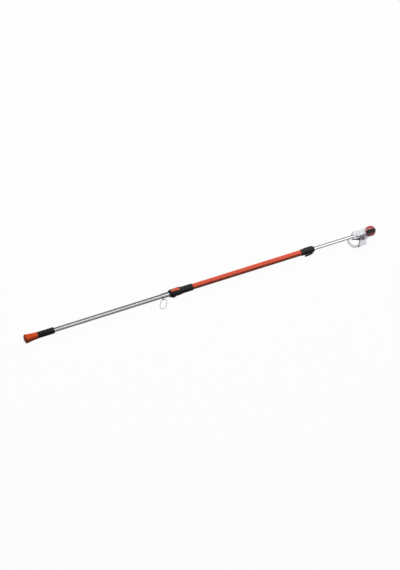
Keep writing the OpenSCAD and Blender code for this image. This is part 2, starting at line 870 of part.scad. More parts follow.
// Lines cast into both faces of the bracket, in line with the tube's sides
module bracket_lines() {
    for (y = [-bracket_line_y, bracket_line_y])
        for (z = [-bracket_half, bracket_half])
            translate([-bracket_length - over, y - bracket_line / 2, z - bracket_line_depth])
                cube([bracket_length, bracket_line, 2 * bracket_line_depth]);
}

module head_bracket() {
    seat_end = bracket_seat - bracket_length;
    color(silver) at_hub() difference() {
        plate(-bracket_half, bracket_half) bracket_outline();
        translate([slot_x, -hub_d, -slot_half]) cube([hub_d - slot_x, 2 * hub_d, 2 * slot_half]);
        bore(-bracket_length - over, seat_end + seat_gap, upper_tube_od + 2 * seat_gap);
        translate([0, pulley_r, 0]) bore(seat_end - over, slot_x + over, 2 * cord_hole_r);
        post([0, 0], -bracket_half - over, bracket_half + over, hub_bolt_r + seat_gap);
        rivet_holes();
        bracket_lines();
    }
}

module bracket_rivets() {
    color(steel) at_hub() for (x = rivet_places) {
        post([x - bracket_length, 0], -bracket_half, bracket_half, rivet_r);
        post([x - bracket_length, 0], bracket_half, bracket_half + rivet_head_h, rivet_head_r);
        post([x - bracket_length, 0], -bracket_half - rivet_head_h, -bracket_half, rivet_head_r);
    }
}

module hub_bolt() {
    color(steel) at_hub() {
        post([0, 0], -bracket_half, knob_z0 + insert_length, hub_bolt_r);
        translate([0, 0, -bracket_half - bolt_head_h]) cylinder(h = bolt_head_h, r = hub_bolt_d, $fn = 6);
    }
}

module hub_cap() {
    r = hub_d / 2;
    top = -bracket_half - seat_gap;
    color(red) at_hub() difference() {
        rotate_extrude() polygon(concat(
            [[0, top], [r, top]],
            [for (p = arc([r - head_round, floor_z + head_round], head_round, 0, -90, 8)) p],
            [[0, floor_z]]
        ));
        post([0, 0], top - bolt_head_h - over, top + over, hub_bolt_d + slide_gap);
    }
}

// Tilt knob

// The bar across the knob, and with a gap its seat in the knob
module wing_outline(gap = 0) {
    edge = hub_d / 2 - 1;
    rotate(wing_angle) hull() {
        translate([wing_wide_r - edge, 0]) circle(wing_wide_r + gap, $fn = 64);
        translate([edge - wing_narrow_r, 0]) circle(wing_narrow_r + gap, $fn = 64);
    }
}

module tilt_knob() {
    r = hub_d / 2;
    steps = 10;
    color(red) at_hub() difference() {
        rotate_extrude() polygon(concat(
            [[0, knob_z0], [r - 1, knob_z0], [r, knob_z0 + 1]],
            [for (i = [0 : steps])
                let (a = 90 * i / steps)
                [r * cos(a), knob_z0 + knob_edge + knob_dome * sin(a)]]
        ));
        post([0, 0], knob_z0 - over, wing_z0 + over, insert_r + seat_gap);
        plate(wing_z0 - seat_gap, knob_z1 + over) wing_outline(seat_gap);
    }
}

module tilt_wing() {
    color(black) at_hub() plate(wing_z0, wing_z0 + wing_height) wing_outline();
}

module tilt_insert() {
    color(brass) at_hub() washer([0, 0], knob_z0, wing_z0 - 2 * seat_gap, insert_r, hub_bolt_r + pin_gap);
}

// Head

// The body that carries the pivot, and its neck to the hub
module body_outline() {
    root = hook_centre + hook_mid_r * [cos(hook_end), sin(hook_end)];
    bar([0, 0], pivot, neck_r);
    hull() {
        translate(root) circle(hook_width / 2, $fn = 32);
        translate(heel) circle(heel_r, $fn = 32);
        translate(pivot) circle(neck_r - over, $fn = 32);
    }
}

module hook_outline() {
    tip = hook_centre + hook_mid_r * [cos(hook_start), sin(hook_start)];
    polygon(concat(
        arc(hook_centre, hook_inner_r + hook_width, hook_start, hook_end, 30),
        arc(hook_centre, hook_inner_r, hook_end, hook_start, 30),
        arc(tip, hook_width / 2, hook_start - 165, hook_start - 15, 10)
    ));
}

module hook_jaw() {
    color(steel) at_hub() difference() {
        plate(jaw_z0, jaw_z1) {
            body_outline();
            hook_outline();
        }
        post([0, 0], jaw_z0 - over, jaw_z1 + over, hub_bolt_r + pin_gap);
        post(pivot, jaw_z0 - over, jaw_z1 + over, pivot_bolt_r + seat_gap);
    }
}

module jaw_cover() {
    color(steel) at_hub() difference() {
        plate(cover_z0, cover_z1) body_outline();
        post([0, 0], cover_z0 - over, cover_z1 + over, hub_bolt_r + pin_gap);
        post(pivot, cover_z0 - over, cover_z1 + over, pivot_bolt_r + seat_gap);
    }
}

module jaw_spacer() {
    color(steel) at_hub() post(spacer_at, jaw_z1, cover_z0, 4);
}

module pivot_bolt() {
    top = cover_z1 + pivot_head_h;
    color(dark_steel) at_hub() difference() {
        union() {
            post(pivot, jaw_z0 - pivot_head_h, cover_z1, pivot_bolt_r);
            post(pivot, cover_z1, top, pivot_head_r);
        }
        translate([pivot[0], pivot[1], top - 2]) cylinder(h = 2 + over, r = pivot_bolt_r, $fn = 6);
    }
}

module pivot_nut() {
    color(steel) at_hub()
        hex_nut(pivot, jaw_z0 - pivot_head_h, jaw_z0, pivot_nut_r, pivot_bolt_r + seat_gap);
}

module pivot_sleeve() {
    color(steel) at_hub() washer(pivot, sector_z1 + slide_gap, cover_z0, sleeve_r, pivot_bolt_r + seat_gap);
}

module hub_spacers() {
    color(steel) at_hub() {
        washer([0, 0], jaw_z1, -pulley_half - slide_gap, hub_washer_r, hub_bolt_r + pin_gap);
        washer([0, 0], pulley_half + slide_gap, cover_z0, hub_washer_r, hub_bolt_r + pin_gap);
    }
}

module return_spring() {
    n = spring_sides;
    end = spring_count * n;
    color(steel) at_hub() translate([pivot[0], pivot[1], spring_z]) polyhedron(
        points = [for (i = [0 : spring_count]) for (k = [0 : n - 1]) spring_point(i, k)],
        faces = concat(
            [for (i = [0 : n : end - n]) for (k = [0 : n - 1])
                let (m = (k + 1) % n)
                each [[i + k, i + m, i + n + k], [i + m, i + n + m, i + n + k]]],
            [for (k = [1 : n - 2]) each [[0, k + 1, k], [end, end + k, end + k + 1]]]
        )
    );
}

// Blade

module sector_rivet_places() {
    middle = (sector_a0 + sector_a1) / 2;
    for (a = [middle - small_rivet_angle, middle + small_rivet_angle])
        translate([pivot[0], pivot[1], 0]) translate(small_rivet_at * [cos(a), sin(a), 0]) children();
}

module blade() {
    color(dark_steel) at_hub() difference() {
        plate(blade_z0, blade_z1) {
            translate(pivot) circle(blade_eye_r);
            polygon(concat(
                [pivot, [pivot[0], blade_top]],
                bow(blade_tip, blade_heel, -edge_bow)
            ));
        }
        post(pivot, blade_z0 - over, blade_z1 + over, pivot_bolt_r + pin_gap);
        sector_rivet_places() post([0, 0], blade_z0 - over, blade_z1 + over, small_rivet_r + seat_gap);
    }
}

module blade_sector() {
    middle = (sector_a0 + sector_a1) / 2;
    far = 2 * sector_r;
    color(dark_steel) at_hub() difference() {
        plate(blade_z1, sector_z1) translate(pivot) {
            circle(sector_boss_r);
            intersection() {
                circle(sector_r + sector_rim);
                polygon([
                    [0, 0], far * [cos(sector_a0), sin(sector_a0)],
                    far * [cos(middle), sin(middle)], far * [cos(sector_a1), sin(sector_a1)]
                ]);
            }
        }
        translate([pivot[0], pivot[1], 0]) rotate_extrude() {
            translate([sector_r, 0]) circle(cord_r + slide_gap);
            translate([sector_r, -cord_r - slide_gap]) square([far, cord_d + 2 * slide_gap]);
        }
        post(pivot, blade_z1 - over, sector_z1 + over, pivot_bolt_r + pin_gap);
        sector_rivet_places() post([0, 0], blade_z1 - over, sector_z1 + over, small_rivet_r + seat_gap);
    }
}

module sector_rivets() {
    color(steel) at_hub() sector_rivet_places() post([0, 0], blade_z0, sector_z1, small_rivet_r);
}

module cord_pulley() {
    color(grey) at_hub() difference() {
        post([0, 0], -pulley_half, pulley_half, pulley_rim);
        rotate_extrude() {
            translate([pulley_r, 0]) circle(cord_r + slide_gap);
            translate([pulley_r, -cord_r - slide_gap]) square([pulley_rim, cord_d + 2 * slide_gap]);
        }
        post([0, 0], -pulley_half - over, pulley_half + over, hub_bolt_r + pin_gap);
    }
}

main_tube();
guide_nose();
collar_body();
collar_sleeve();
collar_bolt();
collar_nut();
collar_pin();
collar_lever();
collar_lever_tip();
clamp_body();
clamp_bush();
clamp_bolt();
clamp_nut();
clamp_pin();
clamp_lever();
hanging_ring();
lower_tube();
lower_guide();
grip_sleeve();
foot_plug();
pull_knob();
knob_cap();
cord_ferrule();
cord_lower();
cord_middle();
cord_upper();
cord_neck();
cord_head();
upper_tube();
upper_guide();
head_bracket();
bracket_rivets();
hub_bolt();
hub_cap();
hub_spacers();
tilt_knob();
tilt_wing();
tilt_insert();
hook_jaw();
jaw_cover();
jaw_spacer();
pivot_bolt();
pivot_nut();
pivot_sleeve();
return_spring();
blade();
blade_sector();
sector_rivets();
cord_pulley();
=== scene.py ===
"""Looks of the tree pruner pole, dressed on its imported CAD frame. Lengths are in metres."""
import json
import math

import bmesh
import bpy
from mathutils import Matrix, Vector


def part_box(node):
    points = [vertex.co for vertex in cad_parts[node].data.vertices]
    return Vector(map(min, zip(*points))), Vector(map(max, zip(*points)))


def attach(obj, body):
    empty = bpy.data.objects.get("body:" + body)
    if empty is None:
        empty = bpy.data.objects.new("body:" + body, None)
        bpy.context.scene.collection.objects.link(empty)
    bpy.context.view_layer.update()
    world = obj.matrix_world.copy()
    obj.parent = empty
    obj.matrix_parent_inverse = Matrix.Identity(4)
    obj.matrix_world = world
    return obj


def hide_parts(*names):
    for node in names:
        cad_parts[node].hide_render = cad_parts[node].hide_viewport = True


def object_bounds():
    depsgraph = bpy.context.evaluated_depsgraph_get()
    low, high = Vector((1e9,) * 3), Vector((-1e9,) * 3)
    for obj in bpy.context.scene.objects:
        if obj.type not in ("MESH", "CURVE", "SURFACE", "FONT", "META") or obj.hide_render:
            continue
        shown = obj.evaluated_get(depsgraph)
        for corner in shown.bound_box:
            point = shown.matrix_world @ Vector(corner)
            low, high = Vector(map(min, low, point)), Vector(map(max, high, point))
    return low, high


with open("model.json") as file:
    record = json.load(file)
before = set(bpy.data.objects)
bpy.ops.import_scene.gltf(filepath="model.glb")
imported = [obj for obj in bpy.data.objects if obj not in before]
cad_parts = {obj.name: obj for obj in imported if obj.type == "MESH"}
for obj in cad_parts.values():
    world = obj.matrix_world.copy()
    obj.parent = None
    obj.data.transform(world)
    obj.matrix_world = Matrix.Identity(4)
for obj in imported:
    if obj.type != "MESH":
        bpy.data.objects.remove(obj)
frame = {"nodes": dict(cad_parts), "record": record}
cad_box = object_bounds()
nodes = frame["nodes"]
MM = 0.001

# Slot and body of each node, and places of the part from its joints and its lowest point
record = frame["record"]
slot_of = {part["node"]: part["material_slot"] for part in record["subparts"]}
body_of = {node: body for body, members in record["behaviour"]["bodies"].items() for node in members}
joint_at = {j["name"]: Vector(j["pos_m"]) for j in record["behaviour"]["joints"] if "pos_m" in j}
HUB = joint_at["head_tilt"]
PIVOT = joint_at["blade_close"]
FLOOR_Z = cad_box[0].z


# Camera

IMAGE_W, IMAGE_H = 400, 570
TARGET = Vector((-0.2336, -0.0030, 0))
VIEW_WIDTH = 2.0065
DISTANCE = 30
FAR_CLIP = 200
SENSOR = 36
TILT = math.radians(17)
POLE_RISE = math.radians(17.4)


def add_camera():
    """Looks down on the pole from far off; the pole rises to the right, its foot nearer."""
    data = bpy.data.cameras.new("camera")
    data.sensor_width = SENSOR
    data.lens = SENSOR * DISTANCE / (VIEW_WIDTH * IMAGE_H / IMAGE_W)
    data.clip_end = FAR_CLIP
    forward = Vector((math.sin(TILT), 0, -math.cos(TILT)))
    along = Vector((math.cos(TILT), 0, math.sin(TILT)))
    across = Vector((0, 1, 0))
    right = along * math.cos(POLE_RISE) - across * math.sin(POLE_RISE)
    up = along * math.sin(POLE_RISE) + across * math.cos(POLE_RISE)
    turn = Matrix((right, up, -forward)).transposed().to_4x4()
    camera = bpy.data.objects.new("camera", data)
    camera.matrix_world = Matrix.Translation(TARGET - forward * DISTANCE) @ turn
    bpy.context.scene.collection.objects.link(camera)
    bpy.context.scene.camera = camera


# Materials

# Painted shade on the head's side by the jaw, dark beneath the bracket's edge: where it ends across the
# pole, and where it comes in along it
SHADE_EDGE = -5.5 * MM
SHADE_ENDS = -40 * MM
SHADE_STARTS = HUB.x - 95 * MM
SHADE_FULL = HUB.x - 75 * MM
SHADE_STRENGTH = 0.95

# Wear shows where the rounded and the plain normal part, by the cosine between them
EDGE_FULL, EDGE_NONE = 0.86, 0.995
WEAR_GRAIN = 900
WEAR_LEAST = 0.2

# Nodes whose finish isn't their slot's
OWN_FINISH = {
    "collar_lever": "lever_orange",
    # The bracket and the jaw's cover get finishes with painted shade beneath the bracket's edge
    "head_bracket": "coated_cast",
    "jaw_cover": "coated_steel",
    "upper_tube": "aluminium_bright",
}


def srgb(red, green, blue):
    """A colour as it shows on screen, 0 to 255, as linear values."""
    def linear(level):
        level /= 255
        return level / 12.92 if level <= 0.04045 else ((level + 0.055) / 1.055) ** 2.4
    return (linear(red), linear(green), linear(blue), 1)


class Finish:
    """A material put together from layers in the object's own space."""

    def __init__(self, name, colour, metallic=0.0, **sockets):
        self.mat = bpy.data.materials.new(name)
        self.mat.use_nodes = True
        self.tree = self.mat.node_tree
        self.shader = self.tree.nodes["Principled BSDF"]
        self.shader.inputs["Metallic"].default_value = metallic
        for socket, value in sockets.items():
            self.shader.inputs[socket.replace("_", " ")].default_value = value
        self.place = self.node("ShaderNodeTexCoord").outputs["Object"]
        self.colour = self.node("ShaderNodeRGB").outputs[0]
        self.colour.default_value = colour
        self.normal = None

    def node(self, kind, **values):
        made = self.tree.nodes.new(kind)
        for key, value in values.items():
            setattr(made, key, value)
        return made

    def link(self, out, socket):
        self.tree.links.new(out, socket)

    def noise(self, scale, along=1, across=1, detail=3):
        """Noise of about scale cells to the metre; a small factor draws it out along or across the pole."""
        mapping = self.node("ShaderNodeMapping")
        mapping.inputs["Scale"].default_value = (scale * along, scale * across, scale)
        self.link(self.place, mapping.inputs["Vector"])
        made = self.node("ShaderNodeTexNoise")
        made.inputs["Scale"].default_value = 1
        made.inputs["Detail"].default_value = detail
        self.link(mapping.outputs["Vector"], made.inputs["Vector"])
        return made.outputs["Fac"]

    def spread(self, value, low, high, start=0.3, end=0.7):
        """Maps start to end of a value onto low to high; without them, the middle range of a noise."""
        made = self.node("ShaderNodeMapRange")
        for socket, number in zip(("From Min", "From Max", "To Min", "To Max"), (start, end, low, high)):
            made.inputs[socket].default_value = number
        self.link(value, made.inputs["Value"])
        return made.outputs["Result"]

    def product(self, first, second):
        made = self.node("ShaderNodeMath", operation="MULTIPLY")
        self.link(first, made.inputs[0])
        self.link(second, made.inputs[1])
        return made.outputs[0]

    def mix(self, factor, colour):
        """Lays a colour over what is there, as far as the factor says."""
        made = self.node("ShaderNodeMix", data_type="RGBA")
        self.link(factor, made.inputs["Factor"])
        self.link(self.colour, made.inputs["A"])
        made.inputs["B"].default_value = colour
        self.colour = made.outputs["Result"]

    def spots(self, value, start, end, colour, amount):
        """Lays spots of a colour where a value rises from start to end."""
        self.mix(self.spread(value, 0, amount, start, end), colour)

    def tone(self, value, darkest, lightest):
        """Makes the colour darker and lighter by a value."""
        made = self.node("ShaderNodeHueSaturation")
        self.link(self.spread(value, darkest, lightest), made.inputs["Value"])
        self.link(self.colour, made.inputs["Color"])
        self.colour = made.outputs["Color"]

    def rough(self, value, low, high):
        self.link(self.spread(value, low, high), self.shader.inputs["Roughness"])

    def bump(self, height, depth):
        """Adds relief of a depth."""
        made = self.node("ShaderNodeBump")
        made.inputs["Strength"].default_value = 1
        made.inputs["Distance"].default_value = depth
        self.link(height, made.inputs["Height"])
        if self.normal:
            self.link(self.normal, made.inputs["Normal"])
        self.normal = made.outputs["Normal"]

    def coat(self, colour):
        """Painted shade beneath the bracket's edge: a dark colour with one sharp edge that fades out away
        from the pole.
        """
        parts = self.node("ShaderNodeSeparateXYZ")
        self.link(self.place, parts.inputs[0])
        along, across = parts.outputs["X"], parts.outputs["Y"]
        below = self.spread(across, 1, 0, SHADE_EDGE - MM, SHADE_EDGE + MM)
        fade = self.spread(across, 0, SHADE_STRENGTH, SHADE_ENDS, SHADE_EDGE)
        begun = self.spread(along, 0, 1, SHADE_STARTS, SHADE_FULL)
        self.mix(self.product(self.product(below, fade), begun), colour)

    def edges(self, radius):
        """1 along edges, 0 elsewhere."""
        soft = self.node("ShaderNodeBevel", samples=6)
        soft.inputs["Radius"].default_value = radius
        plain = self.node("ShaderNodeNewGeometry")
        dot = self.node("ShaderNodeVectorMath", operation="DOT_PRODUCT")
        self.link(soft.outputs["Normal"], dot.inputs[0])
        self.link(plain.outputs["Normal"], dot.inputs[1])
        return self.spread(dot.outputs["Value"], 1, 0, EDGE_FULL, EDGE_NONE)

    def wear(self, radius, colour, amount):
        """Lays broken wear along the edges."""
        broken = self.spread(self.noise(WEAR_GRAIN), WEAR_LEAST * amount, amount)
        self.mix(self.product(self.edges(radius), broken), colour)

    def done(self):
        self.link(self.colour, self.shader.inputs["Base Color"])
        if self.normal:
            self.link(self.normal, self.shader.inputs["Normal"])
        return self.mat


def moulded(name, colour, rough, wear_colour, **sockets):
    """Moulded plastic: fine spark-eroded grain, slight clouding, scuffed edges."""
    finish = Finish(name, colour, **sockets)
    finish.tone(finish.noise(25), 0.88, 1.12)
    finish.spots(finish.noise(160, along=0.25), 0.58, 0.75, wear_colour, 0.08)
    finish.wear(0.6 * MM, wear_colour, 0.45)
    finish.rough(finish.noise(70), *rough)
    finish.bump(finish.noise(2500), 0.06 * MM)
    finish.bump(finish.noise(220), 0.09 * MM)
    return finish.done()


def painted(name, colour, rough, wear_colour):
    """Sprayed paint on a tube: orange peel, fine rubbed lines along it, chips at its ends."""
    finish = Finish(name, colour, Specular_IOR_Level=0.3, Coat_Weight=0.15, Coat_Roughness=0.18)
    finish.tone(finish.noise(14, along=0.3), 0.93, 1.06)
    finish.tone(finish.noise(1400, along=0.004, detail=2), 0.95, 1.05)
    finish.spots(finish.noise(900, along=0.01, detail=1), 0.72, 0.80, wear_colour, 0.35)
    finish.wear(0.7 * MM, srgb(190, 190, 190), 0.8)
    finish.rough(finish.noise(120, along=0.1), *rough)
    finish.bump(finish.noise(520), 0.05 * MM)
    return finish.done()


def drawn(name, colour, rough):
    """Drawn and anodised tube: hair lines along it, a cloud of handling marks."""
    finish = Finish(name, colour, metallic=1.0, Specular_Tint=(0.3, 0.3, 0.3, 1))
    finish.tone(finish.noise(9, along=0.35), 0.93, 1.06)
    finish.tone(finish.noise(2600, along=0.003, detail=2), 0.90, 1.08)
    finish.spots(finish.noise(700, along=0.012, detail=1), 0.70, 0.78, srgb(120, 120, 122), 0.5)
    finish.rough(finish.noise(900, along=0.01), *rough)
    finish.bump(finish.noise(2600, along=0.004, detail=2), 0.01 * MM)
    return finish.done()


def cast(name, colour, rough, coat=None):
    """Tumbled casting: pebbled skin, brighter along its edges, with or without painted shade beneath the
    bracket's edge.
    """
    finish = Finish(name, colour, metallic=1.0)
    # Painted shade beneath the bracket's edge, when a colour for it is given
    if coat:
        finish.coat(coat)
    finish.tone(finish.noise(60), 0.88, 1.08)
    finish.tone(finish.noise(1500), 0.92, 1.06)
    finish.wear(0.9 * MM, srgb(236, 236, 238), 0.7)
    finish.rough(finish.noise(300), *rough)
    finish.bump(finish.noise(1300), 0.03 * MM)
    finish.bump(finish.noise(260), 0.05 * MM)
    return finish.done()


def plated(name, colour, rough, coat=None):
    """Sheet or turned metal: rolling lines, spotted plating, bright edges, with or without painted shade
    beneath the bracket's edge.
    """
    finish = Finish(name, colour, metallic=1.0)
    # Painted shade beneath the bracket's edge, when a colour for it is given
    if coat:
        finish.coat(coat)
    finish.tone(finish.noise(40), 0.85, 1.08)
    finish.tone(finish.noise(1800, across=0.02, detail=2), 0.90, 1.08)
    finish.spots(finish.noise(420), 0.66, 0.78, srgb(110, 104, 100), 0.35)
    finish.wear(0.6 * MM, srgb(235, 235, 238), 0.7)
    finish.rough(finish.noise(500, across=0.02), *rough)
    finish.bump(finish.noise(1800, across=0.02, detail=2), 0.02 * MM)
    return finish.done()


def rubber(name, colour):
    """Matt rubber: dusty in places, polished where a hand holds it."""
    finish = Finish(name, colour, Specular_IOR_Level=0.1, Sheen_Weight=0.02, Sheen_Roughness=0.5)
    finish.tone(finish.noise(30), 0.8, 1.2)
    finish.spots(finish.noise(220), 0.55, 0.8, srgb(92, 90, 88), 0.12)
    finish.wear(0.6 * MM, srgb(80, 79, 78), 0.4)
    finish.rough(finish.noise(45), 0.5, 0.78)
    finish.bump(finish.noise(2600), 0.08 * MM)
    return finish.done()


def braided(name, colour):
    """Synthetic cord: fibres along the strands."""
    finish = Finish(name, colour, Sheen_Weight=0.3)
    finish.tone(finish.noise(3000, along=0.2), 0.6, 1.5)
    finish.rough(finish.noise(800), 0.6, 0.85)
    finish.bump(finish.noise(4000, along=0.2), 0.1 * MM)
    return finish.done()


def make_finishes():
    """A finish for each slot of the record, and those that single nodes have instead."""
    made = {}

    def add(kind, name, *values, **options):
        made[name] = kind(name, *values, **options)

    # Dark purplish colour of the painted shade beneath the bracket's edge
    painted_shade_colour = srgb(48, 36, 46)
    silver, silver_rough = srgb(190, 191, 193), (0.44, 0.58)
    steel_rough, satin = (0.38, 0.52), (0.36, 0.5)
    add(painted, "orange_paint", srgb(202, 72, 42), (0.30, 0.42), srgb(226, 118, 86))
    add(moulded, "orange_plastic", srgb(212, 72, 8), satin, srgb(226, 104, 48), Specular_IOR_Level=0.25)
    add(moulded, "black_plastic", srgb(42, 42, 43), satin, srgb(72, 72, 74), Specular_IOR_Level=0.1)
    add(moulded, "grey_plastic", srgb(150, 152, 150), (0.42, 0.58), srgb(200, 202, 200))
    add(moulded, "red_plastic", srgb(158, 30, 28), (0.2, 0.3), srgb(205, 110, 104), Coat_Weight=0.4)
    add(moulded, "lever_orange", srgb(190, 84, 52), (0.4, 0.55), srgb(214, 130, 100))
    add(rubber, "black_rubber", srgb(40, 40, 40))
    add(drawn, "aluminium", srgb(158, 159, 162), (0.24, 0.34))
    add(drawn, "aluminium_bright", srgb(206, 207, 209), (0.28, 0.38))
    add(cast, "cast_aluminium", silver, silver_rough)
    # Cast and steel finishes with the painted shade beneath the bracket's edge
    add(cast, "coated_cast", silver, silver_rough, coat=painted_shade_colour)
    add(plated, "steel", srgb(168, 169, 172), steel_rough)
    add(plated, "coated_steel", srgb(176, 177, 180), steel_rough, coat=painted_shade_colour)
    add(plated, "dark_steel", srgb(84, 74, 84), (0.3, 0.45))
    add(plated, "black_steel", srgb(44, 44, 46), (0.4, 0.55))
    add(plated, "chrome", srgb(150, 151, 154), (0.14, 0.24))
    add(plated, "brass", srgb(205, 170, 98), (0.2, 0.35))
    add(braided, "cord", srgb(38, 38, 40))
    return made


def finish_of(node):
    return finishes[OWN_FINISH.get(node, slot_of[node])]


def dress_nodes():
    """Gives each CAD solid its finish."""
    for node in slot_of:
        slots = nodes[node].data.materials
        slots.clear()
        slots.append(finish_of(node))


# Mesh helpers

QUARTER = math.pi / 2
SAME_POINT = 1e-7


def evenly(start, end, steps):
    """Values from start to end at an even step, both included."""
    return [start + (end - start) * i / steps for i in range(steps + 1)]


def circle(sides):
    """Angles once round at an even step."""
    return [2 * math.pi * k / sides for k in range(sides)]


def ray(angle):
    """Unit vector in the plane of the head, at an angle from the pole's direction."""
    return Vector((math.cos(angle), math.sin(angle), 0))


def ease(share):
    """From 0 to 1, level at both ends."""
    return share * share * (3 - 2 * share)


def headings(path):
    """Direction of a path at each of its points."""
    last = len(path) - 1
    return [(path[min(i + 1, last)] - path[max(i - 1, 0)]).normalized() for i in range(last + 1)]


def spaced(path, step):
    """Points along a path at an even step."""
    points = []
    for start, end in zip(path, path[1:]):
        count = max(1, round((end - start).length / step))
        points += [start + (end - start) * i / count for i in range(count)]
    return points + [path[-1]]


def mesh_of(name, points, faces):
    """A clean mesh whose faces all look outwards."""
    mesh = bpy.data.meshes.new(name)
    mesh.from_pydata(points, [], faces)
    mesh.validate()
    bm = bmesh.new()
    bm.from_mesh(mesh)
    bmesh.ops.remove_doubles(bm, verts=bm.verts, dist=SAME_POINT)
    bmesh.ops.recalc_face_normals(bm, faces=bm.faces)
    bm.to_mesh(mesh)
    bm.free()
    return mesh


def joined(name, meshes):
    """One mesh that takes the place of several."""
    points, faces = [], []
    for mesh in meshes:
        first = len(points)
        points += [vertex.co.copy() for vertex in mesh.vertices]
        faces += [tuple(first + i for i in face.vertices) for face in mesh.polygons]
        bpy.data.meshes.remove(mesh)
    return mesh_of(name, points, faces)


def skin(pairs, sides):
    """Faces between pairs of rings, which have as many points as sides."""
    faces = []
    for i, j in pairs:
        for k in range(sides):
            m = (k + 1) % sides
            faces.append((i * sides + k, i * sides + m, j * sides + m, j * sides + k))
    return faces


def turned(name, profile, sides=96, relief=None, axis="X", centre=(0, 0, 0)):
    """A closed solid turned from a ring of (place, radius) points; relief moves a point's radius."""
    points = []
    for place, radius in profile:
        for angle in circle(sides):
            reach = radius + relief(place, angle) if relief else radius
            across = (reach * math.cos(angle), reach * math.sin(angle))
            point = (place, *across) if axis == "X" else (*across, place)
            points.append(Vector(point) + Vector(centre))
    rings = len(profile)
    return mesh_of(name, points, skin([(i, (i + 1) % rings) for i in range(rings)], sides))


def swept(name, path, radius, sides=12):
    """A round wire along a path, with closed ends."""
    points = []
    ways = headings(path)
    side = ways[0].orthogonal()
    for point, ahead in zip(path, ways):
        side = (side - ahead * side.dot(ahead)).normalized()
        other = ahead.cross(side)
        points += [point + radius * (math.cos(a) * side + math.sin(a) * other) for a in circle(sides)]
    last = len(path) - 1
    faces = skin([(i, i + 1) for i in range(last)], sides)
    faces += [tuple(range(sides)), tuple(range(last * sides, (last + 1) * sides))]
    return mesh_of(name, points, faces)


def add_piece(name, mesh, node, sharp=35):
    """Puts a mesh into the scene in place of a CAD node, on its body and with its finish."""
    mesh.shade_smooth()
    mesh.set_sharp_from_angle(angle=math.radians(sharp))
    piece = bpy.data.objects.new(name, mesh)
    bpy.context.scene.collection.objects.link(piece)
    mesh.materials.append(finish_of(node))
    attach(piece, body_of[node])
    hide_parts(node)
    return piece


# Light and floor

WHITE = (1, 1, 1, 1)
LAMP_AIM = Vector((0.1, 0, 0))
FILL = 0.07
STAGE_ROUGH = 0.9
FLOOR_REACH = 40
FLOOR_TONE = 0.3
FLOOR_SHINE = 0.1
FLOOR_GLOW = 0.975
FLAG_TONE = 0.01
FLAG_TOP = 1.15
FLAG_SIDE = 1.75
FLAG_FOOT = -2.3
FLAG_REACH = 3.2


def add_light(name, place, size, watts, shine):
    """A rectangular lamp that either makes highlights or lights what is matt."""
    data = bpy.data.lights.new(name, "AREA")
    data.shape = "RECTANGLE"
    data.size, data.size_y = size
    data.energy = watts
    lamp = bpy.data.objects.new(name, data)
    lamp.location = place
    lamp.rotation_euler = (LAMP_AIM - Vector(place)).to_track_quat("-Z", "Y").to_euler()
    lamp.visible_camera = False
    lamp.visible_glossy = shine
    lamp.visible_diffuse = not shine
    bpy.context.scene.collection.objects.link(lamp)


def seen_rays(tree):
    """1 for the rays that show the background itself: camera, glossy and transmission rays."""
    path = tree.nodes.new("ShaderNodeLightPath")
    total = path.outputs["Is Camera Ray"]
    for ray_kind in ("Is Glossy Ray", "Is Transmission Ray"):
        most = tree.nodes.new("ShaderNodeMath")
        most.operation = "MAXIMUM"
        tree.links.new(total, most.inputs[0])
        tree.links.new(path.outputs[ray_kind], most.inputs[1])
        total = most.outputs[0]
    return total


def choose(tree, factor, lit, shown, output):
    """Goes from the shader that gives light to the one that is shown, by a factor."""
    mixed = tree.nodes.new("ShaderNodeMixShader")
    tree.links.new(factor, mixed.inputs[0])
    tree.links.new(lit.outputs[0], mixed.inputs[1])
    tree.links.new(shown.outputs[0], mixed.inputs[2])
    tree.links.new(mixed.outputs[0], tree.nodes[output].inputs["Surface"])


def add_world():
    """A world that shows white and gives a little fill light."""
    world = bpy.data.worlds.new("studio")
    world.use_nodes = True
    bpy.context.scene.world = world
    tree = world.node_tree
    fill = tree.nodes["Background"]
    white = tree.nodes.new("ShaderNodeBackground")
    for background, strength in ((fill, FILL), (white, 1)):
        background.inputs["Color"].default_value = WHITE
        background.inputs["Strength"].default_value = strength
    choose(tree, seen_rays(tree), fill, white, "World Output")


def matt(name, tone, shine):
    """A plain grey for the stage."""
    mat = bpy.data.materials.new(name)
    mat.use_nodes = True
    shader = mat.node_tree.nodes["Principled BSDF"]
    shader.inputs["Base Color"].default_value = (tone, tone, tone, 1)
    shader.inputs["Roughness"].default_value = STAGE_ROUGH
    shader.inputs["Specular IOR Level"].default_value = shine
    return mat


def add_card(name, corners, mat, seen):
    """A flat card of the stage, which the camera sees or not."""
    mesh = bpy.data.meshes.new(name)
    mesh.from_pydata(corners, [], [(0, 1, 2, 3)])
    mesh.materials.append(mat)
    card = bpy.data.objects.new(name, mesh)
    card.visible_camera = seen
    bpy.context.scene.collection.objects.link(card)


def add_floor():
    """A pale floor: it shows white, and takes a faint shadow."""
    mat = matt("floor", FLOOR_TONE, FLOOR_SHINE)
    tree = mat.node_tree
    white = tree.nodes.new("ShaderNodeEmission")
    white.inputs["Color"].default_value = WHITE
    white.inputs["Strength"].default_value = 1
    share = tree.nodes.new("ShaderNodeMath")
    share.operation = "MULTIPLY"
    share.inputs[1].default_value = FLOOR_GLOW
    tree.links.new(seen_rays(tree), share.inputs[0])
    choose(tree, share.outputs[0], tree.nodes["Principled BSDF"], white, "Material Output")
    square = ((-1, -1), (1, -1), (1, 1), (-1, 1))
    add_card("floor", [(x * FLOOR_REACH, y * FLOOR_REACH, FLOOR_Z) for x, y in square], mat, seen=True)


